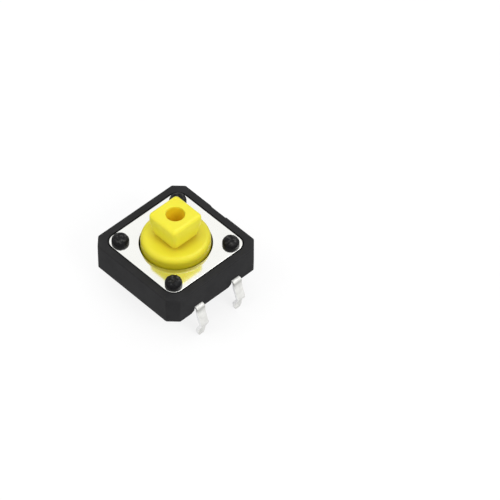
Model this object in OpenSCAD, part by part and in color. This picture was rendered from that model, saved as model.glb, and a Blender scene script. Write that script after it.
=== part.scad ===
// Tactile push button switch: a square through-hole key switch with a staked metal cover,
// a projecting square keycap post and four kinked snap-in legs.
// Origin: centre of the leg pattern, on the face of the circuit board. +Z up, +X towards a leg row.

/* [Housing] */
// Width and length of the moulded housing
body_w = 12; // [11.6:0.1:13]
// Flat cut on each upright corner, measured along a side
corner_cut = 1; // [0.6:0.1:1.2]
// Height of the side walls
wall_h = 3.1; // [3:0.05:3.8]
// Bevel along the outer edge of the rim
rim_bevel = 0.1; // [0.05:0.01:0.2]
// Width of the rim around the cover
rim_w = 0.82; // [0.7:0.02:0.9]
// Thickness of the floor that holds the lead frames
floor_t = 0.9; // [0.85:0.05:1.1]
// Height of the standoff pads under the floor
pad_h = 0.15; // [0.1:0.01:0.3]
// Width of a standoff pad
pad_w = 2.2; // [1.6:0.1:2.4]
// Distance from the side wall to a standoff pad
pad_inset = 0.62; // [0.5:0.02:0.9]

/* [Marks of the mould] */
// Length of the shallow notch in one side wall
notch_w = 2; // [1:0.1:3]
// Depth of the shallow notch
notch_d = 0.13; // [0.05:0.01:0.3]
// Height of the shallow notch, down from the rim
notch_h = 1.2; // [0.6:0.1:2]
// Length of a core window in the underside
window_l = 1.5; // [1:0.1:2]
// Width of a core window in the underside
window_w = 1.4; // [1:0.1:1.5]
// Depth of a core window in the underside
window_d = 0.55; // [0.3:0.05:0.6]
// Distance from the +X wall to its core window
window_inset = 1.26; // [1:0.02:1.3]
// Distance from the -X wall to its core window
far_window_inset = 1.74; // [1.4:0.02:1.76]

/* [Staked posts] */
// Diameter of a post where it passes through the cover
stake_d = 1.2; // [1:0.05:1.3]
// Clearance around a post in the cover
stake_gap = 0.05; // [0.03:0.01:0.1]
// Diameter of a staked head
head_d = 1.75; // [1.4:0.02:1.8]
// Height of a staked head
head_h = 0.7; // [0.4:0.05:0.8]
// Radius of a staked head's upper edge
head_edge_r = 0.5; // [0.3:0.02:0.6]
// Distance from the edge of the cover to the middle of a post
stake_inset = 1.12; // [1.05:0.01:1.2]

/* [Cover] */
// Thickness of the metal cover
cover_t = 0.3; // [0.2:0.05:0.4]
// Corner radius of the cover
cover_corner_r = 1.1; // [0.6:0.05:1.3]
// Gap between the cover and the rim
cover_gap = 0.16; // [0.05:0.01:0.2]

/* [Plunger] */
// Diameter of the round disc, as a share of the housing's width
disc_share = 0.59; // [0.55:0.005:0.595]
// Height of the disc above the cover
disc_h = 1.15; // [0.9:0.05:1.5]
// Radius of the disc's upper edge
disc_edge_r = 0.6; // [0.2:0.05:0.7]
// Clearance between the disc and the hole in the cover
disc_gap = 0.16; // [0.1:0.01:0.3]
// Height of the top of the post above the cover
post_top = 4.2; // [3.9:0.05:5]
// Width of the square post
post_w = 3.9; // [3.6:0.05:4]
// Length of the straight head of the post, above its taper
post_head = 1.1; // [0.8:0.05:1.3]
// Width of the post at the lower end of its taper
post_foot_w = 3.3; // [3.1:0.05:3.4]
// Width of the neck under the taper
neck_w = 2.4; // [2.2:0.05:2.8]
// Height of the neck, from the disc to the taper
neck_h = 0.35; // [0.3:0.05:0.6]
// Radius of the post's upper edges
post_edge_r = 0.3; // [0.1:0.05:0.4]
// Radius of the post's upright corners
post_corner_r = 0.35; // [0.1:0.05:0.5]
// Diameter of the blind hole in the post
hole_d = 1.95; // [1.6:0.05:2.3]
// Depth of the blind hole
hole_depth = 2.6; // [1.5:0.1:3]
// Width of a guide lug, which holds the plunger in under the cover
lug_w = 1.2; // [0.8:0.1:1.6]
// Thickness of a guide lug
lug_t = 0.7; // [0.5:0.05:0.8]
// Reach of a guide lug past the hole in the cover
lug_reach = 0.85; // [0.6:0.05:0.9]
// Running clearance between the plunger and the housing
slide_gap = 0.1; // [0.05:0.01:0.12]
// Play between the plunger and what holds it up and down
end_play = 0.03; // [0.02:0.01:0.05]
// Radius of the nub that presses the dome
nub_r = 0.6; // [0.4:0.05:0.8]

/* [Contacts] */
// Radius of the snap dome
dome_r = 2.5; // [2.3:0.05:2.6]
// Height of the snap dome
dome_h = 0.45; // [0.42:0.01:0.5]
// Thickness of the snap dome
dome_t = 0.08; // [0.06:0.01:0.1]
// Travel of the plunger until the dome closes the contacts
travel = 0.3; // [0.2:0.01:0.3]
// Radius of a raised contact pad
contact_r = 0.4; // [0.3:0.05:0.4]
// Height of the dome's seat above the floor
seat_h = 0.05; // [0.03:0.01:0.1]

/* [Legs] */
// Width of a lead strip
lead_w = 1; // [0.8:0.05:1.1]
// Thickness of the lead strip
lead_t = 0.3; // [0.2:0.02:0.32]
// Height of the lead strip above the underside of the floor
lead_lift = 0.35; // [0.3:0.01:0.38]
// Distance between the two legs of a side
lead_pitch = 5; // [4.8:0.1:5.2]
// Distance from the side wall to the middle of a leg
leg_out = 0.25; // [0.24:0.01:0.3]
// Length of the legs below the board's face
leg_len = 3.3; // [3:0.1:3.8]
// Depth of the knee below the board's face
knee_drop = 1.52; // [1.3:0.02:1.6]
// Reach of the knee past the upper leg
knee_out = 0.52; // [0.2:0.02:0.6]
// Depth below the board's face where the leg is straight again
ankle_drop = 2.4; // [2.3:0.05:2.6]
// Bend radius of the upper leg, to the middle of the strip
bend_r = 0.22; // [0.18:0.01:0.24]
// Width of a leg's tip
tip_w = 0.6; // [0.4:0.05:0.7]
// Length of a leg's tapered tip
tip_l = 0.5; // [0.3:0.05:0.6]
// Clearance around a strip where it leaves the wall
exit_gap = 0.08; // [0.05:0.01:0.15]
// Flare at the foot of a strip's pocket, on its open side
exit_flare = 0.4; // [0.2:0.05:0.5]
// Depth of the pocket where a strip leaves the wall
exit_depth = 0.4; // [0.2:0.05:0.6]

/* [Hidden] */
$fn = 64;
eps = 0.01;
// Bend radii down a leg: above the knee, at the knee and where it is straight again
leg_bends = [1, 0.35, 0.4];
// Lean of a leg's last stretch towards the housing
tip_lean = 0.04;
// Height of the flare at the foot of a pocket, as a share of its reach
flare_rise = 0.7;

// Levels, up from the board's face
wall_z = pad_h;
floor_z = wall_z + floor_t;
rim_z = wall_z + wall_h;
ledge_z = rim_z - cover_t;
seat_z = floor_z + seat_h;
dome_top_z = seat_z + dome_h;
lug_z = ledge_z - end_play;
disc_z = rim_z + disc_h;
post_z = rim_z + post_top;
strip_z = wall_z + lead_lift;
strip_mid_z = strip_z + lead_t / 2;
strip_top_z = strip_z + lead_t;
// The dome snaps through just before it meets the raised centre pad
centre_pad_z = dome_top_z - dome_t - travel - end_play + eps;

// Sizes that follow from the fits
disc_r = disc_share * body_w / 2;
cover_w = body_w - 2 * (rim_w + cover_gap);
cover_hole_r = disc_r + disc_gap;
stake_at = cover_w / 2 - stake_inset;
lug_end = cover_hole_r + lug_reach;
pad_at = body_w / 2 - pad_inset - pad_w / 2;
windows_at = [body_w / 2 - window_inset - window_w / 2, far_window_inset + window_w / 2 - body_w / 2];
leg_x = body_w / 2 + leg_out;
// The corner cuts lie this far apart, straight across the housing
corner_across = sqrt(2) * (body_w - corner_cut);
dome_sphere_r = (dome_r * dome_r + dome_h * dome_h) / (2 * dome_h);
contact_at = dome_r - contact_r / 2;
arm_w = 2 * contact_r;

// Points along an arc, from one angle to another
function arc(centre, r, from, to, steps = 6) = [
    for (i = [0 : steps])
        let (a = from + (to - from) * i / steps)
        centre + r * [cos(a), sin(a)]
];

function unit(v) = v / norm(v);
function left_of(v) = [-v.y, v.x];
function reversed(list) = [for (i = [len(list) - 1 : -1 : 0]) list[i]];

// One face of a bent strip. Its straight runs lie off to the left of the middle line, and each
// bend is an arc about the centre that the middle line bends about
function bend_face(path, radii, off) = [
    for (i = [0 : len(path) - 1])
        let (
            before = unit(path[i] - path[max(i - 1, 0)] + (i == 0 ? path[1] - path[0] : [0, 0])),
            last = len(path) - 1,
            after = i == last ? before : unit(path[i + 1] - path[i]),
            side = cross(before, after) < 0 ? -1 : 1,
            angle = acos(min(1, before * after)),
            centre = path[i] - before * radii[i] * tan(angle / 2) + side * radii[i] * left_of(before),
            start = atan2(-side * left_of(before).y, -side * left_of(before).x)
        )
        each angle < 0.1
            ? [path[i] + off * left_of(before)]
            : arc(centre, radii[i] - side * off, start, start + side * angle)
];

module bent_strip(path, radii, t) {
    polygon(concat(bend_face(path, radii, t / 2), reversed(bend_face(path, radii, -t / 2))));
}

module at_corners(x, y) {
    for (sx = [-1, 1], sy = [-1, 1])
        translate([sx * x, sy * y, 0])
            children();
}

module rounded_square(w, r) {
    square([w - 2 * r, w], center = true);
    square([w, w - 2 * r], center = true);
    at_corners(w / 2 - r, w / 2 - r)
        circle(r = r);
}

// A slab with the housing's height, seen from its end, with bevelled upper edges
module bevelled_slab(w) {
    rotate([90, 0, 0])
        linear_extrude(2 * body_w, center = true)
            polygon([
                [-w / 2, wall_z],
                [w / 2, wall_z],
                [w / 2, rim_z - rim_bevel],
                [w / 2 - rim_bevel, rim_z],
                [rim_bevel - w / 2, rim_z],
                [-w / 2, rim_z - rim_bevel]
            ]);
}

// Outer block of the housing: square, with cut corners and a bevel along the rim
module housing_block() {
    intersection() {
        bevelled_slab(body_w);
        rotate(90)
            bevelled_slab(body_w);
        rotate(45)
            bevelled_slab(corner_across);
        rotate(-45)
            bevelled_slab(corner_across);
    }
}

// Post through the cover, with the domed head that heat staking leaves
module stake() {
    translate([0, 0, ledge_z - eps])
        cylinder(d = stake_d, h = cover_t + 2 * eps);
    translate([0, 0, rim_z])
        rotate_extrude()
            polygon(concat(
                [[0, 0], [head_d / 2, 0]],
                arc([head_d / 2 - head_edge_r, head_h - head_edge_r], head_edge_r, 0, 75),
                [[0, head_h]]
            ));
}

// Round well of the plunger, with a slot for each guide lug
module plunger_well() {
    translate([0, 0, floor_z])
        cylinder(r = cover_hole_r, h = wall_h, $fn = 96);
    for (a = [0, 90])
        rotate(a)
            translate([-lug_end - slide_gap, -lug_w / 2 - slide_gap, floor_z])
                cube([2 * (lug_end + slide_gap), lug_w + 2 * slide_gap, wall_h]);
}

// Pocket in the foot of a side wall, where a strip comes out and turns down
module exit_pocket() {
    half = lead_w / 2 + exit_gap;
    translate([body_w / 2 - exit_depth, 0, 0])
        rotate([90, 0, 90])
            linear_extrude(exit_depth + 1)
                polygon([
                    [half, wall_z - 1],
                    [half, strip_top_z + exit_gap],
                    [-half, strip_top_z + exit_gap],
                    [-half, wall_z + flare_rise * exit_flare],
                    [-half - exit_flare, wall_z],
                    [-half - exit_flare, wall_z - 1]
                ]);
}

// Shallow notch at the top of one wall: one end is steep, the other runs out
module gate_notch() {
    translate([0, body_w / 2, rim_z - notch_h])
        linear_extrude(notch_h + 1)
            polygon([
                [-notch_w / 2 - 3 * notch_d, eps],
                [-notch_w / 2, -notch_d],
                [notch_w / 2, -notch_d],
                [notch_w / 2, eps]
            ]);
}

module housing() {
    color("#2e2e30") {
        difference() {
            housing_block();
            translate([0, 0, ledge_z])
                linear_extrude(cover_t + 1)
                    rounded_square(cover_w + 2 * cover_gap, cover_corner_r + cover_gap);
            plunger_well();
            gate_notch();
            for (x = windows_at)
                translate([x - window_w / 2, -window_l / 2, wall_z - 1])
                    cube([window_w, window_l, window_d + 1]);
            for (turn = [0, 180], side = [-1, 1])
                rotate(turn)
                    translate([0, side * lead_pitch / 2, 0])
                        exit_pocket();
            outer_contact();
            centre_contact();
        }
        at_corners(stake_at, stake_at)
            stake();
        at_corners(pad_at, pad_at)
            translate([-pad_w / 2, -pad_w / 2, 0])
                cube([pad_w, pad_w, pad_h + eps]);
        // Insulating seat of the dome, over the centre contact's strip
        translate([0, contact_at, floor_z - eps])
            cylinder(r = contact_r, h = seat_h + eps);
    }
}

module cover_plate() {
    color("#e8e9ea")
        translate([0, 0, ledge_z])
            difference() {
                linear_extrude(cover_t)
                    rounded_square(cover_w, cover_corner_r);
                translate([0, 0, -1])
                    cylinder(r = cover_hole_r, h = cover_t + 2);
                at_corners(stake_at, stake_at)
                    translate([0, 0, -1])
                        cylinder(d = stake_d + 2 * stake_gap, h = cover_t + 2);
            }
}

// Side view of the keycap post: rounded top edges, a straight head, a taper, then a neck that
// leaves a shoulder for the catches of the keycap
module post_profile() {
    half = [
        [neck_w / 2, disc_z - eps],
        [neck_w / 2, disc_z + neck_h],
        [post_foot_w / 2, disc_z + neck_h],
        [post_w / 2, post_z - post_head],
        each arc([post_w / 2 - post_edge_r, post_z - post_edge_r], post_edge_r, 0, 90)
    ];
    polygon(concat(half, reversed([for (p = half) [-p.x, p.y]])));
}

module keycap_post() {
    intersection() {
        rotate([90, 0, 0])
            linear_extrude(2 * post_w, center = true)
                post_profile();
        rotate([90, 0, 90])
            linear_extrude(2 * post_w, center = true)
                post_profile();
        linear_extrude(post_z + 1)
            rounded_square(post_w, post_corner_r);
    }
}

module plunger() {
    color("#f2ea4c")
        difference() {
            union() {
                keycap_post();
                rotate_extrude($fn = 96)
                    polygon(concat(
                        [[0, lug_z - lug_t], [disc_r, lug_z - lug_t]],
                        arc([disc_r - disc_edge_r, disc_z - disc_edge_r], disc_edge_r, 0, 90),
                        [[0, disc_z]]
                    ));
                for (a = [0, 90])
                    rotate(a)
                        translate([-lug_end, -lug_w / 2, lug_z - lug_t])
                            cube([2 * lug_end, lug_w, lug_t]);
                translate([0, 0, dome_top_z + end_play])
                    cylinder(r = nub_r, h = lug_z - dome_top_z - end_play);
            }
            translate([0, 0, post_z - hole_depth])
                cylinder(d = hole_d, h = hole_depth + 1);
        }
}

module contact_dome() {
    color("#c9cacb")
        intersection() {
            difference() {
                translate([0, 0, dome_top_z - dome_sphere_r])
                    sphere(r = dome_sphere_r, $fn = 128);
                translate([0, 0, dome_top_z - dome_sphere_r])
                    sphere(r = dome_sphere_r - dome_t, $fn = 128);
            }
            translate([0, 0, seat_z])
                cylinder(r = dome_r + 1, h = dome_h + 1);
        }
}

// One lead strip from tip to tip: both legs turn down outside the walls, kink out at the knee to
// snap into the board, and end in a tapered tip
module lead_strip() {
    leg = [
        [leg_x - eps, strip_mid_z],
        [leg_x, -pad_h],
        [leg_x + knee_out, -knee_drop],
        [leg_x, -ankle_drop],
        [leg_x - tip_lean, -leg_len]
    ];
    radii = [bend_r, each leg_bends, 0];
    path = concat(reversed([for (p = leg) [-p.x, p.y]]), leg);
    intersection() {
        rotate([90, 0, 0])
            linear_extrude(lead_w, center = true)
                bent_strip(path, concat(reversed(radii), radii), lead_t);
        rotate([90, 0, 90])
            linear_extrude(4 * body_w, center = true)
                polygon([
                    [-lead_w, floor_z],
                    [-lead_w, 0],
                    [-lead_w / 2, tip_l - leg_len],
                    [-tip_w / 2, -leg_len],
                    [tip_w / 2, -leg_len],
                    [lead_w / 2, tip_l - leg_len],
                    [lead_w, 0],
                    [lead_w, floor_z]
                ]);
    }
}

module raised_pad(x, y, r, top_z) {
    translate([x, y, strip_z])
        cylinder(r = r, h = top_z - strip_z);
}

module outer_contact() {
    color("#d4d5d6") {
        translate([0, -lead_pitch / 2, 0])
            lead_strip();
        for (side = [-1, 1]) {
            translate([side * contact_at - arm_w / 2, -lead_pitch / 2, strip_z])
                cube([arm_w, lead_pitch / 2, lead_t]);
            raised_pad(side * contact_at, 0, contact_r, seat_z);
        }
        raised_pad(0, -contact_at, contact_r, seat_z);
    }
}

module centre_contact() {
    color("#d4d5d6") {
        translate([0, lead_pitch / 2, 0])
            lead_strip();
        translate([-nub_r, 0, strip_z])
            cube([2 * nub_r, lead_pitch / 2, lead_t]);
        raised_pad(0, 0, nub_r, centre_pad_z);
    }
}

housing();
cover_plate();
plunger();
contact_dome();
outer_contact();
centre_contact();
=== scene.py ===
import math

import bmesh
import bpy
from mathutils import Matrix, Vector


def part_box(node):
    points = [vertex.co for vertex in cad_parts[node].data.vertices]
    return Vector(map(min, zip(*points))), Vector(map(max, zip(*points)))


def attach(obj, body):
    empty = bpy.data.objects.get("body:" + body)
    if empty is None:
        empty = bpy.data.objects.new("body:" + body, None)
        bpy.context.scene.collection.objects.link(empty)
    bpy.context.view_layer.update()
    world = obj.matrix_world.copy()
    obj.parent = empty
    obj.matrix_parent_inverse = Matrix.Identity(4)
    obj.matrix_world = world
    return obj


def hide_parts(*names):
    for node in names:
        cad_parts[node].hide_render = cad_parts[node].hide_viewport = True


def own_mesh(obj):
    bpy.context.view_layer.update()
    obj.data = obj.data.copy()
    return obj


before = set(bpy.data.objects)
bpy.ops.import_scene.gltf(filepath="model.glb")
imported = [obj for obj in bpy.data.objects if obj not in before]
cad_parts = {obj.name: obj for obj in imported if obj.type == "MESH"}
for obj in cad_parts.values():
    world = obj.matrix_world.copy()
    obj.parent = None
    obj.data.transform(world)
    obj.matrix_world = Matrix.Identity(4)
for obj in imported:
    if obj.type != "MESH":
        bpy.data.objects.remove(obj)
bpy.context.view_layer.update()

# The camera stands far back behind a long lens, high above the front corner, so the square
# switch shows as a diamond with its upright edges almost parallel. All sizes are in
# millimetres and become metres where they are used.
MM = 0.001
CAMERA_PLACE = (198.3235, -179.0377, 298.9494)
CAMERA_TURN = (41.9803, -0.0802, 46.4291)

lens = bpy.data.cameras.new("camera")
lens.sensor_width = 36
lens.lens = 288
lens.clip_start = 0.01
lens.clip_end = 20
camera = bpy.data.objects.new("camera", lens)
camera.location = Vector(CAMERA_PLACE) * MM
camera.rotation_euler = [math.radians(turn) for turn in CAMERA_TURN]
bpy.context.collection.objects.link(camera)
bpy.context.scene.camera = camera
bpy.context.scene.view_settings.view_transform = "Standard"
# The cover mirrors the open side that the camera looks in by, which throws little light back
bpy.context.scene.cycles.caustics_reflective = False


# The studio is a white sweep of matt paper, which keeps the shadow of the switch, in an evenly
# lit white tent, which the cover mirrors. Two soft lamps give the light on the surfaces some
# direction, and a third hangs overhead that shows only in the gloss.
PAPER_WHITE = "#fbfbfb"
PAPER_BOUNCE = "#cccccc"
PAPER_REACH = 1500
PAPER_GLOW = 1.03
PAPER_OWN_WHITE = 0.78
TENT_SIDE = 0.64
TENT_TOP = 0.84
LAMP_AIM = (0, 0, 3)
LAMPS = {
    # name: (place, width, watts, whether only the gloss shows it)
    "key_lamp": ((400, -40, 300), 240, 0.86, False),
    "fill_lamp": ((-150, -300, 330), 300, 0.40, False),
    "gloss_lamp": ((100, 190, 420), 400, 1.5, True),
}


def linear(colour):
    """An sRGB hex colour as linear red, green, blue and alpha."""
    parts = [int(colour[i:i + 2], 16) / 255 for i in (1, 3, 5)]
    return [c / 12.92 if c <= 0.04045 else ((c + 0.055) / 1.055) ** 2.4 for c in parts] + [1]


def add_node(tree, kind, settings, links=()):
    """Adds a node, sets its sockets and own values by name, and links its inputs by name."""
    node = tree.nodes.new("ShaderNode" + kind)
    for name, value in settings.items():
        if isinstance(name, int) or name in node.inputs:
            node.inputs[name].default_value = value
        else:
            setattr(node, name, value)
    for name, source in links:
        tree.links.new(source, node.inputs[name])
    return node


def new_material(name):
    """An empty node material, with its output node."""
    material = bpy.data.materials.new(name)
    material.use_nodes = True
    material.node_tree.nodes.clear()
    return material, material.node_tree, material.node_tree.nodes.new("ShaderNodeOutputMaterial")


def seen_rays(tree):
    """1 for what the camera, the gloss and clear things see, and 0 for the light on the switch."""
    ray = add_node(tree, "LightPath", {})
    seen = add_node(tree, "Math", {"operation": "MAXIMUM"}, [
        (0, ray.outputs["Is Camera Ray"]), (1, ray.outputs["Is Glossy Ray"])])
    return add_node(tree, "Math", {"operation": "MAXIMUM"}, [
        (0, seen.outputs[0]), (1, ray.outputs["Is Transmission Ray"])]).outputs[0]


# Most of what the camera and the gloss see of the paper is its own white, so it stays white
# while the shadow stays on it; what it throws back on the switch is weaker
white_paper, tree, output = new_material("white_paper")
seen = seen_rays(tree)
colour = add_node(tree, "Mix", {
    "data_type": "RGBA", 6: linear(PAPER_BOUNCE), 7: linear(PAPER_WHITE)}, [("Factor", seen)])
paper = add_node(tree, "BsdfDiffuse", {}, [("Color", colour.outputs[2])])
glow = add_node(tree, "Emission", {"Strength": PAPER_GLOW})
share = add_node(tree, "Math", {"operation": "MULTIPLY", 1: PAPER_OWN_WHITE}, [(0, seen)])
mixed = add_node(tree, "MixShader", {}, [
    ("Fac", share.outputs[0]), (1, paper.outputs[0]), (2, glow.outputs[0])])
# From beneath, the camera looks through the paper at the underside of the switch
ray = add_node(tree, "LightPath", {})
surface = add_node(tree, "NewGeometry", {})
beneath = add_node(tree, "Math", {"operation": "MULTIPLY"}, [
    (0, ray.outputs["Is Camera Ray"]), (1, surface.outputs["Backfacing"])])
clear = add_node(tree, "BsdfTransparent", {})
mixed = add_node(tree, "MixShader", {}, [
    ("Fac", beneath.outputs[0]), (1, mixed.outputs[0]), (2, clear.outputs[0])])
tree.links.new(mixed.outputs[0], output.inputs["Surface"])

bpy.ops.object.select_all(action="DESELECT")
floor_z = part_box("outer_contact")[0].z
bpy.ops.mesh.primitive_plane_add(size=2 * PAPER_REACH * MM, location=(0, 0, floor_z))
paper_sweep = bpy.context.object
paper_sweep.name = "paper_sweep"
paper_sweep.data.materials.append(white_paper)

tent = bpy.data.worlds.new("tent")
bpy.context.scene.world = tent
tent.use_nodes = True
tree = tent.node_tree
tree.nodes.clear()
# The tent lights the switch more from overhead than from its sides, and shows as plain white
place = add_node(tree, "TexCoord", {})
height = add_node(tree, "SeparateXYZ", {}, [("Vector", place.outputs["Generated"])])
level = add_node(tree, "MapRange", {"To Min": TENT_SIDE, "To Max": TENT_TOP}, [
    ("Value", height.outputs["Z"])])
level = add_node(tree, "Mix", {"data_type": "FLOAT", 3: 1.0}, [
    ("Factor", seen_rays(tree)), (2, level.outputs[0])])
glow = add_node(tree, "Background", {"Color": (1, 1, 1, 1)}, [("Strength", level.outputs[0])])
add_node(tree, "OutputWorld", {}, [("Surface", glow.outputs[0])])

for name, (place, width, watts, gloss_only) in LAMPS.items():
    lamp_data = bpy.data.lights.new(name, "AREA")
    lamp_data.size = width * MM
    lamp_data.energy = watts
    lamp = bpy.data.objects.new(name, lamp_data)
    lamp.location = Vector(place) * MM
    lamp.rotation_euler = (Vector(LAMP_AIM) - Vector(place)).to_track_quat("-Z", "Y").to_euler()
    # Each lamp either lights the surfaces or shows in the gloss, and never does both
    lamp.visible_diffuse = not gloss_only
    lamp.visible_glossy = gloss_only
    bpy.context.collection.objects.link(lamp)


# The two lead frames are stamped from tin-plated brass strip. One strip runs through the floor
# of the housing from leg to leg; each leg turns down outside the wall and kinks out at the
# knee, so that it snaps into the board, and its sheared edges are rolled by the die.
STRIP_W = 1.0
STRIP_T = 0.3
STRIP_MID = 0.65
STRIP_FOOT = 0.5
STRIP_TOP = 0.8
LEG_X = 6.25
LEG_ROW = 2.5
# Down the leg: the corners that its middle line passes, with the bend radius at each
LEG_CORNERS = [
    ((0, STRIP_MID), 0),
    ((LEG_X, STRIP_MID), 0.22),
    ((LEG_X, -0.15), 1.0),
    ((LEG_X + 0.52, -1.52), 0.35),
    ((LEG_X, -2.4), 0.4),
    ((LEG_X - 0.04, -3.3), 0),
]
TIP_L = 0.5
TIP_W = 0.6
SHEAR_ROLL = 0.035
# Degrees to each flat step of a bend
BEND_STEP = 9
# The heights where the painted shade on the upper bend begins, is darkest and ends
BEND_FOOT, BEND_DARKEST, BEND_TOP = 0.05, 0.52, 0.74
# The raised pads that the dome rests on, and the middle one that it meets when pressed
PAD_R = 0.4
PAD_X = 2.3
PAD_TOP = 1.1
CENTRE_R = 0.6
CENTRE_TOP = 1.15


def block(name, low, high):
    """A box between two corners, in millimetres."""
    bpy.ops.object.select_all(action="DESELECT")
    bpy.ops.mesh.primitive_cube_add(
        size=1,
        location=[(a + b) / 2 * MM for a, b in zip(low, high)],
        scale=[(b - a) * MM for a, b in zip(low, high)],
    )
    bpy.ops.object.transform_apply(location=True, rotation=True, scale=True)
    bpy.context.object.name = name
    return bpy.context.object


def rod(name, radius, low_z, high_z, x=0, y=0, sides=48):
    """An upright round bar, in millimetres."""
    bpy.ops.object.select_all(action="DESELECT")
    bpy.ops.mesh.primitive_cylinder_add(
        vertices=sides,
        radius=radius * MM,
        depth=(high_z - low_z) * MM,
        location=(x * MM, y * MM, (low_z + high_z) / 2 * MM),
    )
    bpy.ops.object.transform_apply(location=True, rotation=True, scale=True)
    bpy.context.object.name = name
    return bpy.context.object


def pick(piece, kind, test):
    """Opens the piece for editing and selects only the faces, edges or corners that pass."""
    bpy.context.view_layer.objects.active = piece
    piece.select_set(True)
    if piece.mode != "EDIT":
        bpy.ops.object.mode_set(mode="EDIT")
    bpy.ops.mesh.select_mode(type=kind)
    bpy.ops.mesh.select_all(action="DESELECT")
    shape = bmesh.from_edit_mesh(piece.data)
    parts = {"FACE": shape.faces, "EDGE": shape.edges, "VERT": shape.verts}[kind]
    for part in parts:
        if test(part):
            part.select_set(True)
    shape.select_flush_mode()
    bmesh.update_edit_mesh(piece.data)


def middle(part):
    """The middle of a face or edge, in millimetres."""
    return sum((v.co for v in part.verts), Vector()) / len(part.verts) / MM


def close_edit():
    bpy.ops.object.mode_set(mode="OBJECT")


def modify(piece, kind, **settings):
    """Adds a modifier to the piece and applies it."""
    bpy.ops.object.select_all(action="DESELECT")
    bpy.context.view_layer.objects.active = piece
    piece.select_set(True)
    modifier = piece.modifiers.new(kind.lower(), kind)
    for name, value in settings.items():
        setattr(modifier, name, value)
    bpy.ops.object.modifier_apply(modifier=modifier.name)


def combine(piece, operation, *tools):
    """Cuts the tools out of the piece or joins them to it, and takes the tools away."""
    for tool in tools:
        modify(piece, "BOOLEAN", operation=operation, object=tool, solver="EXACT")
        bpy.data.objects.remove(tool)


def twin(piece, name):
    """A copy with a mesh of its own."""
    other = piece.copy()
    other.data = piece.data.copy()
    other.name = name
    bpy.context.collection.objects.link(other)
    return other


def shade(piece):
    """Shades the piece smooth while its flats stay flat."""
    bpy.ops.object.shade_smooth_by_angle(angle=math.radians(40))
    modify(piece, "WEIGHTED_NORMAL", keep_sharp=True, weight=100)


def soften(piece, width, segments=2):
    """Breaks every sharp edge by a small round, and shades the piece. The clamp that keeps the
    rounds from crossing narrows all of them where cuts have left short edges: those of the leads
    and the housing come out a few thousandths of a millimetre wide, which is as good as sharp."""
    modify(piece, "BEVEL", width=width * MM, segments=segments, limit_method="ANGLE",
           angle_limit=math.radians(35), use_clamp_overlap=True, harden_normals=False)
    shade(piece)


def put_on(piece, body, slot, material, *nodes):
    """Gives a finished piece its material, the body that it rides on and the nodes it replaces."""
    piece.data.materials.clear()
    piece.data.materials.append(material)
    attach(piece, body)
    if nodes:
        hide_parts(*nodes)


def bent_strip(name, row_y):
    """The strip of one row: its end face is run on and bent about each corner in turn."""
    bpy.ops.object.select_all(action="DESELECT")
    bpy.ops.mesh.primitive_plane_add(
        size=1, location=(0, row_y * MM, STRIP_MID * MM), rotation=(0, math.pi / 2, 0))
    piece = bpy.context.object
    piece.name = name
    piece.scale = (STRIP_T * MM, STRIP_W * MM, 1)
    bpy.ops.object.transform_apply(location=True, rotation=True, scale=True)
    bpy.ops.object.mode_set(mode="EDIT")
    bpy.ops.mesh.select_mode(type="FACE")
    bpy.ops.mesh.select_all(action="SELECT")
    points = [Vector(point) for point, radius in LEG_CORNERS]
    radii = [radius for point, radius in LEG_CORNERS]
    place = points[0]
    for i in range(1, len(points)):
        heading = (points[i] - points[i - 1]).normalized()
        if i == len(points) - 1:
            # The last stretch is drawn in to the tip
            steps = [(points[i] - place).length - TIP_L, TIP_L]
        else:
            after = (points[i + 1] - points[i]).normalized()
            turn = heading.angle_signed(after)
            short = radii[i] * math.tan(abs(turn) / 2)
            steps = [(points[i] - place).length - short]
        for step in steps:
            bpy.ops.mesh.extrude_region_move(TRANSFORM_OT_translate={
                "value": (heading.x * step * MM, 0, heading.y * step * MM)})
        if i == len(points) - 1:
            # The tip is narrower, and cut off level
            bpy.ops.transform.resize(value=(1, TIP_W / STRIP_W, 0))
            break
        place = points[i] - heading * short
        side = Vector((-heading.y, heading.x)) * (-1 if turn > 0 else 1)
        centre = place + side * radii[i]
        bpy.ops.mesh.spin(
            steps=max(2, round(abs(math.degrees(turn)) / BEND_STEP)), angle=-turn, axis=(0, 1, 0),
            center=(centre.x * MM, row_y * MM, centre.y * MM))
        place = points[i] + after * short
    pick(piece, "FACE", lambda face: abs(middle(face).x) < 1e-3 and abs(face.normal.x) > 0.9)
    bpy.ops.mesh.delete(type="FACE")
    close_edit()
    modify(piece, "MIRROR", use_axis=(True, False, False), merge_threshold=1e-7)
    pick(piece, "FACE", lambda face: True)
    bpy.ops.mesh.remove_doubles(threshold=1e-7)
    bpy.ops.mesh.normals_make_consistent(inside=False)
    close_edit()
    return piece


outer_leads = bent_strip("outer_leads", -LEG_ROW)
combine(
    outer_leads, "UNION",
    block("arm", (-PAD_X - PAD_R, -LEG_ROW, STRIP_FOOT), (-PAD_X + PAD_R, 0, STRIP_TOP)),
    block("arm", (PAD_X - PAD_R, -LEG_ROW, STRIP_FOOT), (PAD_X + PAD_R, 0, STRIP_TOP)),
    rod("pad", PAD_R, STRIP_FOOT, PAD_TOP, x=-PAD_X, sides=32),
    rod("pad", PAD_R, STRIP_FOOT, PAD_TOP, x=PAD_X, sides=32),
    rod("pad", PAD_R, STRIP_FOOT, PAD_TOP, y=-PAD_X, sides=32),
)
centre_leads = bent_strip("centre_leads", LEG_ROW)
combine(
    centre_leads, "UNION",
    block("arm", (-CENTRE_R, 0, STRIP_FOOT), (CENTRE_R, LEG_ROW, STRIP_TOP)),
    rod("pad", CENTRE_R, STRIP_FOOT, CENTRE_TOP, sides=32),
)
# The moulding closes round the strips, so their sharp shapes are kept to cut the housing with
lead_cuts = [twin(outer_leads, "outer_cut"), twin(centre_leads, "centre_cut")]

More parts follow.
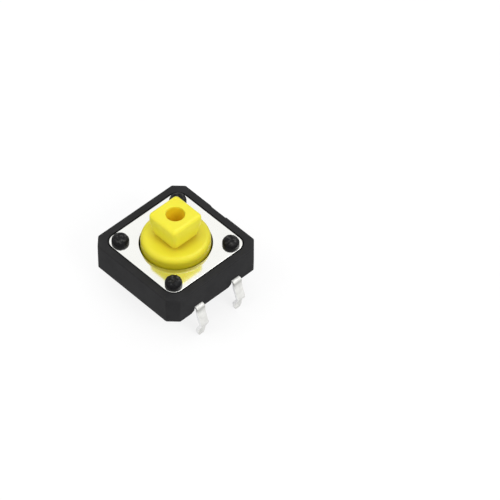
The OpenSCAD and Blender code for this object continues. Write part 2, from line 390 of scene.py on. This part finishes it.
# Matt tin plate is a soft grey-white metal, with faint lines drawn down the leg by the die
tin_plate, tree, output = new_material("tin_plated_brass")
place = add_node(tree, "TexCoord", {})
cloud = add_node(tree, "TexNoise", {"Scale": 1 / (0.5 * MM), "Detail": 3.0}, [
    ("Vector", place.outputs["Object"])])
tone = add_node(tree, "MapRange", {"From Min": 0.3, "From Max": 0.7}, [
    ("Value", cloud.outputs["Fac"])])
colour = add_node(tree, "Mix", {"data_type": "RGBA", 6: linear("#dededb"), 7: linear("#eeeeeb")}, [
    ("Factor", tone.outputs[0])])
# The sheared edges, the faces that look along the row, are painted near white: a painted highlight
# of the light they catch from the side
surface = add_node(tree, "NewGeometry", {})
facing = add_node(tree, "SeparateXYZ", {}, [("Vector", surface.outputs["Normal"])])
across = add_node(tree, "Math", {"operation": "ABSOLUTE"}, [(0, facing.outputs["Y"])])
side_highlight = add_node(tree, "MapRange", {"From Min": 0.5, "From Max": 0.8}, [
    ("Value", across.outputs[0])])
colour = add_node(tree, "Mix", {"data_type": "RGBA", 7: linear("#ffffff")}, [
    ("Factor", side_highlight.outputs[0]), (6, colour.outputs[2])])
# Painted shade: a darker band by height about the legs' upper bend, darkest at its middle
height = add_node(tree, "SeparateXYZ", {}, [("Vector", place.outputs["Object"])])
over = add_node(tree, "MapRange", {"From Min": BEND_TOP * MM, "From Max": BEND_DARKEST * MM}, [
    ("Value", height.outputs["Z"])])
under = add_node(tree, "MapRange", {"From Min": BEND_FOOT * MM, "From Max": BEND_DARKEST * MM}, [
    ("Value", height.outputs["Z"])])
bend_shade = add_node(tree, "Math", {"operation": "MULTIPLY"}, [
    (0, over.outputs[0]), (1, under.outputs[0])])
colour = add_node(tree, "Mix", {"data_type": "RGBA", 7: linear("#bcbcb8")}, [
    ("Factor", bend_shade.outputs[0]), (6, colour.outputs[2])])
# Die lines about 0.08 mm apart across the strip, and long down it
stretch = add_node(tree, "Mapping", {"Scale": (0.06, 1, 0.06)}, [
    ("Vector", place.outputs["Object"])])
lines = add_node(tree, "TexNoise", {"Scale": 1 / (0.08 * MM), "Detail": 2.0}, [
    ("Vector", stretch.outputs[0])])
rough = add_node(tree, "MapRange", {"To Min": 0.58, "To Max": 0.74}, [
    ("Value", lines.outputs["Fac"])])
relief = add_node(tree, "Bump", {"Strength": 0.5, "Distance": 0.003 * MM}, [
    ("Height", lines.outputs["Fac"])])
metal = add_node(tree, "BsdfPrincipled", {"Metallic": 1.0}, [
    ("Base Color", colour.outputs[2]), ("Roughness", rough.outputs[0]),
    ("Normal", relief.outputs[0])])
# The crystals of the matt plate scatter about half of the light
bloom = add_node(tree, "BsdfDiffuse", {}, [
    ("Color", colour.outputs[2]), ("Normal", relief.outputs[0])])
plate = add_node(tree, "MixShader", {"Fac": 0.5}, [(1, metal.outputs[0]), (2, bloom.outputs[0])])
tree.links.new(plate.outputs[0], output.inputs["Surface"])

soften(outer_leads, SHEAR_ROLL)
soften(centre_leads, SHEAR_ROLL)
put_on(outer_leads, "base", "leads", tin_plate, "outer_contact")
put_on(centre_leads, "base", "leads", tin_plate, "centre_contact")


# The housing is one moulding of black glass-filled nylon around the two lead frames: a square
# tray with cut corners, four low pads under its floor, a round well for the button, and a
# rebate that takes the cover. The texture of the spark-eroded mould gives it a fine satin.
BODY = 12.0
CORNER_CUT = 1.0
CORNER_ROUND = 0.1
WALL_FOOT = 0.15
RIM_TOP = 3.25
RIM_ROUND = 0.12
FLOOR_TOP = 1.05
REBATE = 10.36
REBATE_R = 1.26
LEDGE = 2.95
WELL_R = 3.7
LUG_SLOT = (4.65, 0.7)
FOOT_PAD = 2.2
FOOT_PAD_AT = 4.28
FOOT_PAD_TOP = 0.3
SEAT_FOOT = 0.9
MOULD_ROUND = 0.04
# How far a cutting block runs out past what it cuts, and how near to a height counts as at it
PAST = 1
NEAR = 0.01
# The two core windows in the underside, from end to end
WINDOWS = ((3.34, 4.74), (-4.26, -2.86))
WINDOW_HALF = 0.75
WINDOW_TOP = 0.7
# The notch's low and high corners, and how far the inner and outer corners of one end are moved
NOTCH = ((-1.39, 5.87, 2.05), (1, 7, 5))
NOTCH_SLOPE = (0.39, -3)
# The pocket of each leg, and the flare on one side of it, which slopes down to its far edge
POCKET_BACK = 5.6
POCKET_HALF = 0.58
POCKET_TOP = 0.88
FLARE_REACH = 0.98
FLARE_ROOT = 0.5
FLARE_TOP = 0.43
FLARE_FALL = 0.28


def upright(edge):
    """True for an edge that stands upright."""
    a, b = (v.co for v in edge.verts)
    return abs(a.z - b.z) > 10 * max(abs(a.x - b.x), abs(a.y - b.y), 1e-9)


housing = block(
    "housing_moulding", (-BODY / 2, -BODY / 2, WALL_FOOT), (BODY / 2, BODY / 2, RIM_TOP))
pick(housing, "EDGE", upright)
bpy.ops.mesh.bevel(offset=CORNER_CUT * MM, segments=1, affect="EDGES")
pick(housing, "EDGE", upright)
bpy.ops.mesh.bevel(offset=CORNER_ROUND * MM, segments=3, affect="EDGES")
pick(housing, "EDGE", lambda edge: middle(edge).z > RIM_TOP - NEAR and not upright(edge))
bpy.ops.mesh.bevel(offset=RIM_ROUND * MM, segments=3, affect="EDGES")
close_edit()

rebate = block(
    "rebate", (-REBATE / 2, -REBATE / 2, LEDGE), (REBATE / 2, REBATE / 2, RIM_TOP + PAST))
pick(rebate, "EDGE", upright)
bpy.ops.mesh.bevel(offset=REBATE_R * MM, segments=8, affect="EDGES")
close_edit()
well = rod("well", WELL_R, FLOOR_TOP, RIM_TOP + PAST, sides=96)
reach, half = LUG_SLOT
lug_slots = [
    block("lug_slot", (-reach, -half, FLOOR_TOP), (reach, half, RIM_TOP + PAST)),
    block("lug_slot", (-half, -reach, FLOOR_TOP), (half, reach, RIM_TOP + PAST)),
]
core_windows = [
    block("core_window", (low, -WINDOW_HALF, -PAST), (high, WINDOW_HALF, WINDOW_TOP))
    for low, high in WINDOWS
]
# The notch in the far wall runs out gently at one end
notch = block("notch", *NOTCH)
inner, outer = NOTCH_SLOPE
pick(notch, "VERT", lambda v: v.co.x < 0 and v.co.y < BODY / 2 * MM)
bpy.ops.transform.translate(value=(inner * MM, 0, 0))
pick(notch, "VERT", lambda v: v.co.x < 0 and v.co.y > BODY / 2 * MM)
bpy.ops.transform.translate(value=(outer * MM, 0, 0))
close_edit()
# Each strip comes out of a pocket in the foot of the wall, flared on one side
exits = []
for turn in (1, -1):
    for row in (-LEG_ROW, LEG_ROW):
        pocket = block(
            "pocket", (POCKET_BACK, row - POCKET_HALF, -PAST),
            (BODY / 2 + PAST, row + POCKET_HALF, POCKET_TOP))
        flare = block(
            "flare", (POCKET_BACK, row - FLARE_REACH, -PAST),
            (BODY / 2 + PAST, row - FLARE_ROOT, FLARE_TOP))
        pick(flare, "VERT", lambda v: v.co.z > 0 and v.co.y < (row - POCKET_HALF) * MM)
        bpy.ops.transform.translate(value=(0, 0, -FLARE_FALL * MM))
        close_edit()
        combine(pocket, "UNION", flare)
        if turn < 0:
            pick(pocket, "FACE", lambda face: True)
            bpy.ops.transform.rotate(value=math.pi, orient_axis="Z", center_override=(0, 0, 0))
            close_edit()
        exits.append(pocket)
combine(housing, "DIFFERENCE", rebate, well, *lug_slots, *core_windows, notch, *exits, *lead_cuts)
combine(housing, "UNION", *[
    block("foot_pad", (x - FOOT_PAD / 2, y - FOOT_PAD / 2, 0),
          (x + FOOT_PAD / 2, y + FOOT_PAD / 2, FOOT_PAD_TOP))
    for x in (-FOOT_PAD_AT, FOOT_PAD_AT) for y in (-FOOT_PAD_AT, FOOT_PAD_AT)
], rod("dome_seat", PAD_R, SEAT_FOOT, PAD_TOP, y=PAD_X, sides=32))
soften(housing, MOULD_ROUND)

black_nylon, tree, output = new_material("moulded_black_nylon")
place = add_node(tree, "TexCoord", {})
cloud = add_node(tree, "TexNoise", {"Scale": 1 / (1.6 * MM), "Detail": 4.0}, [
    ("Vector", place.outputs["Object"])])
tone = add_node(tree, "MapRange", {"From Min": 0.3, "From Max": 0.7}, [
    ("Value", cloud.outputs["Fac"])])
colour = add_node(tree, "Mix", {"data_type": "RGBA", 6: linear("#262627"), 7: linear("#2d2d2e")}, [
    ("Factor", tone.outputs[0])])
# Spark-eroded grain is 0.03 mm in truth, drawn at 0.07 mm so that it shows
grain = add_node(tree, "TexNoise", {"Scale": 1 / (0.07 * MM), "Detail": 2.0}, [
    ("Vector", place.outputs["Object"])])
rough = add_node(tree, "MapRange", {"To Min": 0.58, "To Max": 0.72}, [
    ("Value", grain.outputs["Fac"])])
relief = add_node(tree, "Bump", {"Strength": 0.6, "Distance": 0.004 * MM}, [
    ("Height", grain.outputs["Fac"])])
plastic = add_node(tree, "BsdfPrincipled", {"IOR": 1.53, "Specular IOR Level": 0.08}, [
    ("Base Color", colour.outputs[2]), ("Roughness", rough.outputs[0]),
    ("Normal", relief.outputs[0])])
tree.links.new(plastic.outputs[0], output.inputs["Surface"])
put_on(housing, "base", "housing", black_nylon, "housing")


# Four posts of the housing stand up through the cover, and a hot tool has melted their ends to
# short pucks that hold it down. The melt has rolled the edge and left the tops uneven.
STAKE_AT = 3.9
SHANK_R = 0.6
HEAD_R = 0.88
HEAD_ROUND = 0.5
HEAD_H = 0.7
HEAD_RING = 0.08
HEAD_RIPPLE = 0.08
# How high over the cover the painted highlights begin, and where they are full
GLINT_FOOT = 0.45
GLINT_TOP = 0.66
# Each head: side of the switch, turn, size, shift and the seed of its uneven top
HEADS = {
    "staked_head_front": ((1, -1), 0, 1.0, (0.0, -0.02), 3),
    "staked_head_right": ((1, 1), 75, 0.99, (0.02, -0.06), 11),
    "staked_head_left": ((-1, -1), 160, 1.02, (0.03, -0.04), 7),
    "staked_head_back": ((-1, 1), 250, 1.0, (0.0, 0.0), 19),
}

puck = rod("puck", HEAD_R, RIM_TOP, RIM_TOP + HEAD_H, sides=64)
pick(puck, "FACE", lambda face: face.normal.z < -0.9)
bpy.ops.mesh.inset(thickness=(HEAD_R - SHANK_R) * MM)
bpy.ops.mesh.extrude_region_move(TRANSFORM_OT_translate={"value": (0, 0, (LEDGE - RIM_TOP) * MM)})
pick(puck, "EDGE", lambda edge: middle(edge).z > RIM_TOP + HEAD_H - NEAR)
bpy.ops.mesh.bevel(offset=HEAD_ROUND * MM, segments=10, affect="EDGES")
pick(puck, "FACE", lambda face: face.normal.z > 0.99 and middle(face).z > RIM_TOP + HEAD_H - NEAR)
for ring in range(3):
    bpy.ops.mesh.inset(thickness=HEAD_RING * MM)
bpy.ops.mesh.poke()
pick(puck, "FACE", lambda face: face.normal.z < 0.2 and middle(face).z > RIM_TOP + 0.05)
bpy.ops.mesh.subdivide(number_cuts=1)
close_edit()

staked_nylon, tree, output = new_material("heat_staked_nylon")
place = add_node(tree, "TexCoord", {})
# Wrinkles of the melt, 0.3 mm across, over the grain of the hot tool's face
melt = add_node(tree, "Mapping", {"Location": (0, 0, 2 * MM)}, [
    ("Vector", place.outputs["Object"])])
wrinkle = add_node(tree, "TexNoise", {"Scale": 1 / (0.3 * MM), "Detail": 4.0}, [
    ("Vector", melt.outputs[0])])
rough = add_node(tree, "MapRange", {"To Min": 0.36, "To Max": 0.52}, [
    ("Value", wrinkle.outputs["Fac"])])
relief = add_node(tree, "Bump", {"Strength": 0.8, "Distance": 0.03 * MM}, [
    ("Height", wrinkle.outputs["Fac"])])
# Pale spots on the tops, where the wrinkles stand highest, are painted highlights, and the rolled
# edge stays black
painted_glint = add_node(tree, "MapRange", {"From Min": 0.5, "From Max": 0.72}, [
    ("Value", wrinkle.outputs["Fac"])])
height = add_node(tree, "SeparateXYZ", {}, [("Vector", place.outputs["Object"])])
crown = add_node(tree, "MapRange", {
    "From Min": (RIM_TOP + GLINT_FOOT) * MM, "From Max": (RIM_TOP + GLINT_TOP) * MM}, [
    ("Value", height.outputs["Z"])])
painted_glint = add_node(tree, "Math", {"operation": "MULTIPLY"}, [
    (0, painted_glint.outputs[0]), (1, crown.outputs[0])])
colour = add_node(tree, "Mix", {"data_type": "RGBA", 6: linear("#171718"), 7: linear("#4c4c4b")}, [
    ("Factor", painted_glint.outputs[0])])
plastic = add_node(tree, "BsdfPrincipled", {"IOR": 1.53, "Specular IOR Level": 0.08}, [
    ("Base Color", colour.outputs[2]), ("Roughness", rough.outputs[0]),
    ("Normal", relief.outputs[0])])
tree.links.new(plastic.outputs[0], output.inputs["Surface"])

for name, ((side_x, side_y), turn, size, shift, seed) in HEADS.items():
    head = twin(puck, name)
    pick(head, "VERT", lambda v: v.co.z > (RIM_TOP + HEAD_H / 2) * MM)
    bpy.ops.transform.vertex_random(offset=HEAD_RIPPLE * MM, uniform=0.2, seed=seed)
    bpy.ops.mesh.vertices_smooth(factor=0.5, repeat=3)
    pick(head, "VERT", lambda v: True)
    bpy.ops.transform.rotate(value=math.radians(turn), orient_axis="Z", center_override=(0, 0, 0))
    bpy.ops.transform.resize(value=(size, size, 1), center_override=(0, 0, 0))
    bpy.ops.transform.translate(value=(
        (side_x * STAKE_AT + shift[0]) * MM, (side_y * STAKE_AT + shift[1]) * MM, 0))
    close_edit()
    bpy.ops.object.shade_smooth_by_angle(angle=math.radians(50))
    put_on(head, "base", "housing", staked_nylon)
bpy.data.objects.remove(puck)


# The cover is a square of bright stainless strip, blanked and pierced in one stroke, which
# leaves its upper edges rolled. It drops into the rebate over the four posts.
COVER = 10.04
COVER_R = 1.1
COVER_HOLE_R = 3.7
POST_HOLE_R = 0.65
DIE_ROLL = 0.025

cover = block("cover_sheet", (-COVER / 2, -COVER / 2, LEDGE), (COVER / 2, COVER / 2, RIM_TOP))
pick(cover, "EDGE", upright)
bpy.ops.mesh.bevel(offset=COVER_R * MM, segments=10, affect="EDGES")
close_edit()
combine(cover, "DIFFERENCE", rod("hole", COVER_HOLE_R, LEDGE - PAST, RIM_TOP + PAST, sides=128), *[
    rod("hole", POST_HOLE_R, LEDGE - PAST, RIM_TOP + PAST, x=x, y=y)
    for x in (-STAKE_AT, STAKE_AT) for y in (-STAKE_AT, STAKE_AT)
])
soften(cover, DIE_ROLL, segments=3)

stainless, tree, output = new_material("rolled_stainless")
place = add_node(tree, "TexCoord", {})
# Rolling lines run along the strip; they are 0.01 mm in truth, drawn at 0.05 mm
stretch = add_node(tree, "Mapping", {"Scale": (0.04, 1, 1)}, [("Vector", place.outputs["Object"])])
lines = add_node(tree, "TexNoise", {"Scale": 1 / (0.05 * MM), "Detail": 3.0}, [
    ("Vector", stretch.outputs[0])])
rough = add_node(tree, "MapRange", {"To Min": 0.08, "To Max": 0.13}, [
    ("Value", lines.outputs["Fac"])])
relief = add_node(tree, "Bump", {"Strength": 0.02, "Distance": 0.001 * MM}, [
    ("Height", lines.outputs["Fac"])])
cloud = add_node(tree, "TexNoise", {"Scale": 1 / (2.5 * MM), "Detail": 2.0}, [
    ("Vector", place.outputs["Object"])])
colour = add_node(tree, "Mix", {"data_type": "RGBA", 6: linear("#f3f3ee"), 7: linear("#fbfbf7")}, [
    ("Factor", cloud.outputs["Fac"])])
metal = add_node(tree, "BsdfPrincipled", {"Metallic": 1.0}, [
    ("Base Color", colour.outputs[2]), ("Roughness", rough.outputs[0]),
    ("Normal", relief.outputs[0])])
tree.links.new(metal.outputs[0], output.inputs["Surface"])
put_on(cover, "base", "cover", stainless, "cover_plate")


# The button is one moulding of yellow polyester: a round disc with a square keycap post, which
# tapers to an undercut neck, and a blind hole down its middle. Below the cover it has four lugs
# that guide it and keep it in, and a nub that bears on the snap dome.
DISC_R = 3.54
DISC_TOP = 4.4
DISC_ROUND = 0.6
LUG_FOOT = 2.22
LUG_TOP = 2.92
LUG_END = 4.55
LUG_HALF = 0.6
NUB_R = 0.6
NUB_FOOT = 1.58
POST = 3.9
POST_TOP = 7.45
POST_TAPER_TOP = 6.35
POST_FOOT = 3.3
POST_FOOT_Z = 4.75
NECK = 2.4
NECK_SUNK = 0.1
# The top's round has to stay smaller than the corner's: if not, the two bevels cross, and the
# button comes out empty
POST_CORNER = 0.45
POST_ROUND = 0.4
HOLE_R = 0.975
HOLE_FOOT = 4.85
HOLE_ROUND = 0.06
# Surfaces nearer to each other than this get painted shade from each other
CREVICE = 1.1

button = rod("button_moulding", DISC_R, LUG_FOOT, DISC_TOP, sides=128)
pick(button, "FACE", lambda face: face.normal.z < -0.9)
bpy.ops.mesh.inset(thickness=(DISC_R - NUB_R) * MM)
bpy.ops.mesh.extrude_region_move(TRANSFORM_OT_translate={
    "value": (0, 0, (NUB_FOOT - LUG_FOOT) * MM)})
pick(button, "EDGE", lambda edge: middle(edge).z > DISC_TOP - NEAR)
bpy.ops.mesh.bevel(offset=DISC_ROUND * MM, segments=8, affect="EDGES")
close_edit()

# The post stands on its narrower neck, and its sides taper from the straight head down to the
# shoulder that the keycap grips
post = block("post", (-POST / 2, -POST / 2, POST_FOOT_Z), (POST / 2, POST / 2, POST_TOP))
pick(post, "FACE", lambda face: True)
bpy.ops.mesh.bisect(plane_co=(0, 0, POST_TAPER_TOP * MM), plane_no=(0, 0, 1))
pick(post, "FACE", lambda face: face.normal.z < -0.9)
bpy.ops.transform.resize(value=(POST_FOOT / POST, POST_FOOT / POST, 1), center_override=(0, 0, 0))
bpy.ops.mesh.inset(thickness=(POST_FOOT - NECK) / 2 * MM)
bpy.ops.mesh.extrude_region_move(TRANSFORM_OT_translate={
    "value": (0, 0, (DISC_TOP - NECK_SUNK - POST_FOOT_Z) * MM)})
pick(post, "EDGE", lambda edge: abs(edge.verts[0].co.z - edge.verts[1].co.z) > MM)
bpy.ops.mesh.bevel(offset=POST_CORNER * MM, segments=6, affect="EDGES")
pick(post, "EDGE", lambda edge: middle(edge).z > POST_TOP - NEAR)
bpy.ops.mesh.bevel(offset=POST_ROUND * MM, segments=6, affect="EDGES")
close_edit()
combine(
    button, "UNION", post,
    block("lug", (-LUG_END, -LUG_HALF, LUG_FOOT), (LUG_END, LUG_HALF, LUG_TOP)),
    block("lug", (-LUG_HALF, -LUG_END, LUG_FOOT), (LUG_HALF, LUG_END, LUG_TOP)),
)
combine(button, "DIFFERENCE", rod("hole", HOLE_R, HOLE_FOOT, POST_TOP + PAST, sides=64))
pick(button, "EDGE", lambda edge: all(
    v.co.z > (POST_TOP - NEAR) * MM and v.co.xy.length < (HOLE_R + NEAR) * MM for v in edge.verts))
bpy.ops.mesh.bevel(offset=HOLE_ROUND * MM, segments=4, affect="EDGES")
close_edit()
shade(button)

yellow_polyester, tree, output = new_material("moulded_yellow_polyester")
place = add_node(tree, "TexCoord", {})
cloud = add_node(tree, "TexNoise", {"Scale": 1 / (1.2 * MM), "Detail": 3.0}, [
    ("Vector", place.outputs["Object"])])
tone = add_node(tree, "MapRange", {"From Min": 0.3, "From Max": 0.7}, [
    ("Value", cloud.outputs["Fac"])])
colour = add_node(tree, "Mix", {"data_type": "RGBA", 6: linear("#eee43a"), 7: linear("#f1e73f")}, [
    ("Factor", tone.outputs[0])])
# The plastic lets some light through. Down the hole the colour is painted amber, as painted light
# for the light that bounces deep in the hole, and the amber is painted brighter towards the foot
axis = add_node(tree, "Mapping", {"Scale": (1, 1, 0)}, [("Vector", place.outputs["Object"])])
radius = add_node(tree, "VectorMath", {"operation": "LENGTH"}, [(0, axis.outputs[0])])
inside = add_node(tree, "MapRange", {
    "From Min": (HOLE_R + 0.02) * MM, "From Max": (HOLE_R + 0.12) * MM, "To Min": 1.0,
    "To Max": 0.0}, [("Value", radius.outputs["Value"])])
height = add_node(tree, "SeparateXYZ", {}, [("Vector", place.outputs["Object"])])
down = add_node(tree, "MapRange", {
    "From Min": (POST_TOP - 0.05) * MM, "From Max": (POST_TOP - 0.35) * MM}, [
    ("Value", height.outputs["Z"])])
above = add_node(tree, "Math", {"operation": "GREATER_THAN", 1: (HOLE_FOOT - 0.05) * MM}, [
    (0, height.outputs["Z"])])
hole_light_mask = add_node(tree, "Math", {"operation": "MULTIPLY"}, [
    (0, inside.outputs[0]), (1, down.outputs[0])])
hole_light_mask = add_node(tree, "Math", {"operation": "MULTIPLY"}, [
    (0, hole_light_mask.outputs[0]), (1, above.outputs[0])])
# Painted shade: darker amber in crevices, as under the post's shoulder, and down the disc's edge
open_sky = add_node(tree, "AmbientOcclusion", {"Distance": CREVICE * MM}, [])
crevice_shade = add_node(tree, "MapRange", {"From Min": 0.95, "From Max": 0.45}, [
    ("Value", open_sky.outputs["AO"])])
colour = add_node(tree, "Mix", {"data_type": "RGBA", 7: linear("#dac530")}, [
    ("Factor", crevice_shade.outputs[0]), (6, colour.outputs[2])])
# Painted shade by height, from just above the disc's top down its rounded edge and side
edge = add_node(tree, "MapRange", {
    "From Min": (DISC_TOP + 0.15) * MM, "From Max": (DISC_TOP - DISC_ROUND - 0.1) * MM}, [
    ("Value", height.outputs["Z"])])
colour = add_node(tree, "Mix", {"data_type": "RGBA", 7: linear("#cabc1b")}, [
    ("Factor", edge.outputs[0]), (6, colour.outputs[2])])
# Painted light: the hole's amber, painted brighter towards the foot
depth = add_node(tree, "MapRange", {
    "From Min": (POST_TOP - 0.3) * MM, "From Max": (POST_TOP - 2) * MM}, [
    ("Value", height.outputs["Z"])])
hole_light_colour = add_node(tree, "Mix", {"data_type": "RGBA", 6: linear("#e8cb22"), 7: linear("#ffde2a")}, [
    ("Factor", depth.outputs[0])])
colour = add_node(tree, "Mix", {"data_type": "RGBA"}, [
    ("Factor", hole_light_mask.outputs[0]), (6, colour.outputs[2]), (7, hole_light_colour.outputs[2])])
# The mould's polish leaves a skin that ripples by a few hundredths of a millimetre
ripple = add_node(tree, "TexNoise", {"Scale": 1 / (0.22 * MM), "Detail": 3.0}, [
    ("Vector", place.outputs["Object"])])
rough = add_node(tree, "MapRange", {"To Min": 0.36, "To Max": 0.48}, [
    ("Value", ripple.outputs["Fac"])])
relief = add_node(tree, "Bump", {"Strength": 0.35, "Distance": 0.004 * MM}, [
    ("Height", ripple.outputs["Fac"])])
plastic = add_node(tree, "BsdfPrincipled", {
    "IOR": 1.5, "Specular IOR Level": 0.22, "Subsurface Weight": 0.1,
    "Subsurface Radius": (1.0, 0.3, 0.05), "Subsurface Scale": 0.5 * MM}, [
    ("Base Color", colour.outputs[2]), ("Roughness", rough.outputs[0]),
    ("Normal", relief.outputs[0])])
tree.links.new(plastic.outputs[0], output.inputs["Surface"])
put_on(button, "button", "plunger", yellow_polyester, "plunger")


# The snap dome under the button is a disc of spring steel, pressed to a shallow cap and cut off
# level at its rim. The press leaves it bright, with faint rings round its middle.
DOME_R = 2.5
DOME_SEAT = 1.1
DOME_TOP = 1.55
DOME_T = 0.08
# The cap is made this much deeper, and then cut off level at its seat
DOME_SPARE = 0.1
DOME_ROUND = 0.015

rise = DOME_TOP - DOME_SEAT
ball_r = (DOME_R ** 2 + rise ** 2) / (2 * rise)
bpy.ops.object.select_all(action="DESELECT")
bpy.ops.mesh.primitive_uv_sphere_add(
    segments=96, ring_count=128, radius=ball_r * MM, location=(0, 0, (DOME_TOP - ball_r) * MM))
bpy.ops.object.transform_apply(location=True, rotation=True, scale=True)
dome = bpy.context.object
dome.name = "snap_dome"
pick(dome, "FACE", lambda face: True)
bpy.ops.mesh.bisect(
    plane_co=(0, 0, (DOME_SEAT - DOME_SPARE) * MM), plane_no=(0, 0, 1), clear_inner=True)
close_edit()
modify(dome, "SOLIDIFY", thickness=DOME_T * MM, offset=-1)
wide = DOME_R + PAST
combine(dome, "DIFFERENCE", block("below", (-wide, -wide, 0), (wide, wide, DOME_SEAT)))
soften(dome, DOME_ROUND)

spring_steel, tree, output = new_material("pressed_spring_steel")
place = add_node(tree, "TexCoord", {})
rings = add_node(tree, "TexWave", {
    "wave_type": "RINGS", "rings_direction": "Z", "Scale": 1 / (0.5 * MM), "Distortion": 1.5,
    "Detail": 2.0}, [("Vector", place.outputs["Object"])])
rough = add_node(tree, "MapRange", {"To Min": 0.2, "To Max": 0.3}, [
    ("Value", rings.outputs["Fac"])])
relief = add_node(tree, "Bump", {"Strength": 0.2, "Distance": 0.001 * MM}, [
    ("Height", rings.outputs["Fac"])])
metal = add_node(tree, "BsdfPrincipled", {"Metallic": 1.0, "Base Color": linear("#d3d3d0")}, [
    ("Roughness", rough.outputs[0]), ("Normal", relief.outputs[0])])
tree.links.new(metal.outputs[0], output.inputs["Surface"])
put_on(dome, "base", "dome", spring_steel, "contact_dome")
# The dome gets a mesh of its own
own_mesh(dome)
